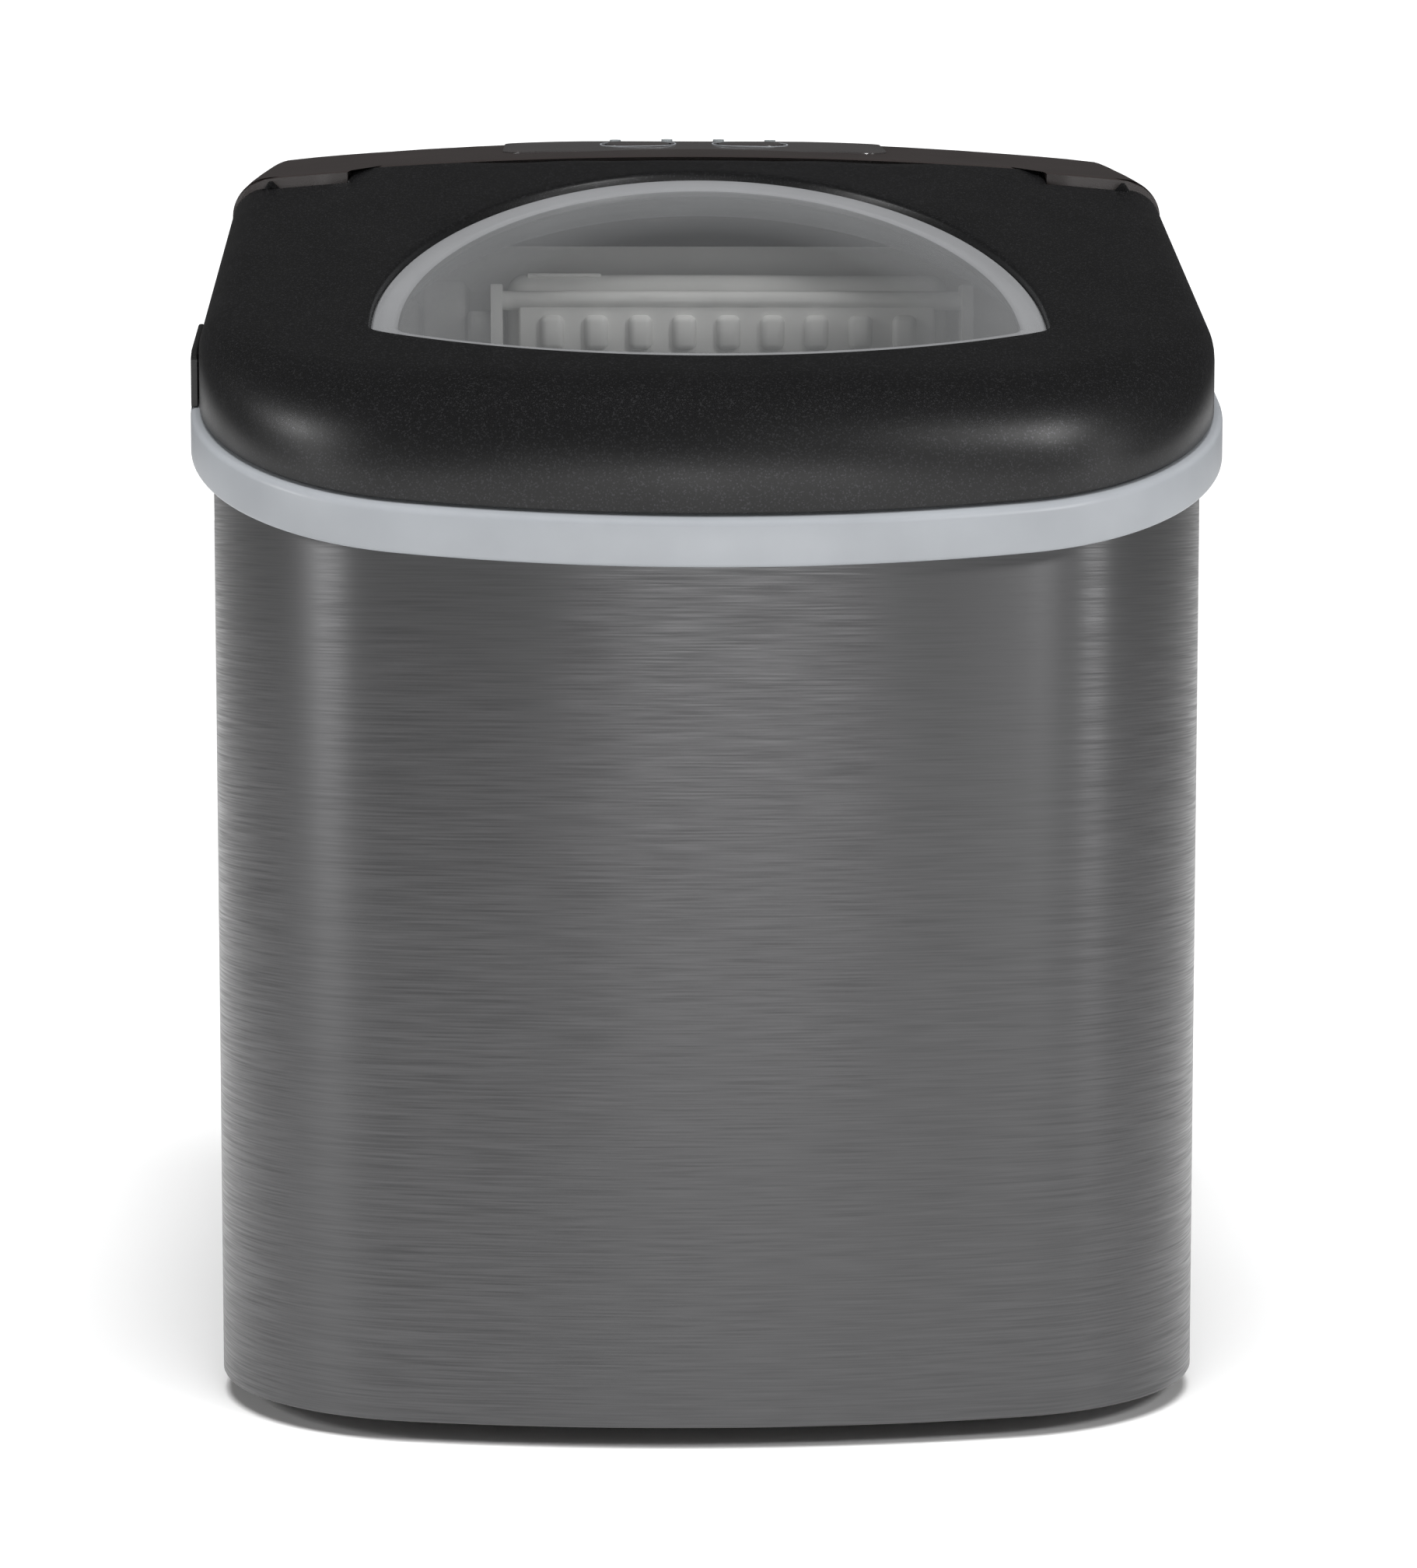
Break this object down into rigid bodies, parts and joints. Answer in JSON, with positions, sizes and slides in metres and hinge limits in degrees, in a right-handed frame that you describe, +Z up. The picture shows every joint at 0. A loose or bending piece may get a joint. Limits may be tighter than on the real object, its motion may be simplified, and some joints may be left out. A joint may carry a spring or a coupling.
{
  "type": "ice maker",
  "caption": "Countertop ice maker with a sheet-metal body, sloping hinged lid with a D-shaped window, tilting water tray, ice basket, scoop and cooling plant.",
  "frame": {"origin": "centre of the bounding box's base, on the plane that the feet stand on", "axes": "+Z up, the front with the lid's lower edge faces -Y, +X to the right of a viewer who faces the front"},
  "size_m": [0.2424, 0.3584, 0.3083],
  "materials": {
    "dark_steel": "horizontally brushed dark steel",
    "grey_plastic": "satin light grey",
    "lid_black": "satin black with fine metal flake",
    "black_plastic": "fine texture",
    "dark_plastic": "fine texture",
    "overlay_gloss": "gloss",
    "light_pipe": "translucent",
    "board_green": "satin",
    "window_clear": "clear, slightly smoked",
    "milky_plastic": "milky",
    "white_plastic": "satin",
    "frosted_plastic": "frosted",
    "rubber_black": "matte",
    "foam": "closed-cell foam",
    "silicone": "translucent",
    "bright_steel": "polished",
    "nickel": "nickel plated",
    "motor_grey": "satin",
    "black_enamel": "semi-gloss enamel",
    "aluminium_fin": "rolled",
    "copper": "drawn copper"
  },
  "bodies": {
    "cabinet": {"base_plate": "dark_plastic", "rubber_feet": "rubber_black", "steel_wrap": "dark_steel", "rear_panel": "dark_plastic", "collar": "grey_plastic", "lid_grip_insert": "black_plastic", "inner_liner": "white_plastic", "insulation_foam": "foam", "rear_deck": "lid_black", "control_overlay": "overlay_gloss", "indicator_lights": "light_pipe", "control_board": "board_green", "evaporator_fingers": "nickel", "evaporator_cover": "white_plastic", "mechanism_bracket": "white_plastic", "gear_motor": "motor_grey", "motor_cover": "white_plastic", "ice_sensors": "black_plastic", "water_spout": "white_plastic", "silicone_hose": "silicone", "water_pump": "black_plastic", "pump_filter": "grey_plastic", "drain_tube": "silicone", "compressor": "black_enamel", "compressor_mounts": "rubber_black", "relay_cover": "black_plastic", "condenser": "aluminium_fin", "fan_shroud": "black_plastic", "fan_motor": "motor_grey", "dryer_filter": "copper", "solenoid_valve": "motor_grey", "refrigerant_tubing": "copper", "main_board_box": "dark_plastic", "cord_gland": "black_plastic", "body_screws": "bright_steel"},
    "lid": {"lid_shell": "lid_black", "lid_window": "window_clear", "window_retainer": "milky_plastic", "lid_inner_frame": "dark_plastic", "lid_hinge_pins": "bright_steel"},
    "power_key": {"power_button": "overlay_gloss"},
    "select_key": {"select_button": "overlay_gloss"},
    "tray": {"water_tray": "white_plastic", "tray_shaft": "bright_steel"},
    "pusher": {"ice_pusher": "white_plastic"},
    "fan": {"fan_blade": "black_plastic"},
    "impeller": {"pump_impeller": "white_plastic"},
    "basket": {"ice_basket": "frosted_plastic"},
    "scoop": {"ice_scoop": "frosted_plastic"},
    "plug": {"drain_plug": "rubber_black"}
  },
  "joints": [
    {"name": "lid_hinge", "type": "hinge", "parent": "cabinet", "child": "lid", "pos_m": [0, -0.0178, 0.2916], "axis": [-1, 0, 0], "range_deg": [0, 75]},
    {"name": "power_press", "type": "slide", "parent": "cabinet", "child": "power_key", "axis": [0, 0.1304, -0.9915], "range_m": [0, 0.001], "stiffness_N_per_m": 600},
    {"name": "select_press", "type": "slide", "parent": "cabinet", "child": "select_key", "axis": [0, 0.1304, -0.9915], "range_m": [0, 0.001], "stiffness_N_per_m": 600},
    {"name": "tray_tilt", "type": "hinge", "parent": "cabinet", "child": "tray", "pos_m": [0, 0.014, 0.232], "axis": [1, 0, 0], "range_deg": [0, 75]},
    {"name": "pusher_swing", "type": "hinge", "parent": "cabinet", "child": "pusher", "pos_m": [0, -0.0354, 0.261], "axis": [-1, 0, 0], "range_deg": [0, 37.5]},
    {"name": "fan_spin", "type": "hinge", "parent": "cabinet", "child": "fan", "pos_m": [0.061, 0.118, 0.085], "axis": [0, 1, 0], "continuous": true},
    {"name": "impeller_spin", "type": "hinge", "parent": "cabinet", "child": "impeller", "pos_m": [0.037, 0.06, 0.018], "axis": [0, 0, 1], "continuous": true},
    {"name": "basket_lift", "type": "slide", "parent": "cabinet", "child": "basket", "axis": [0, 0, 1], "range_m": [0, 0.015]},
    {"name": "scoop_lift", "type": "slide", "parent": "basket", "child": "scoop", "axis": [0, 0, 1], "range_m": [0, 0.03]},
    {"name": "drain_plug_pull", "type": "slide", "parent": "cabinet", "child": "plug", "axis": [0, 1, 0], "range_m": [0, 0.009]}
  ],
  "couplings": [
    {"joint": "pusher_swing", "follows": "tray_tilt", "ratio": 0.5}
  ]
}
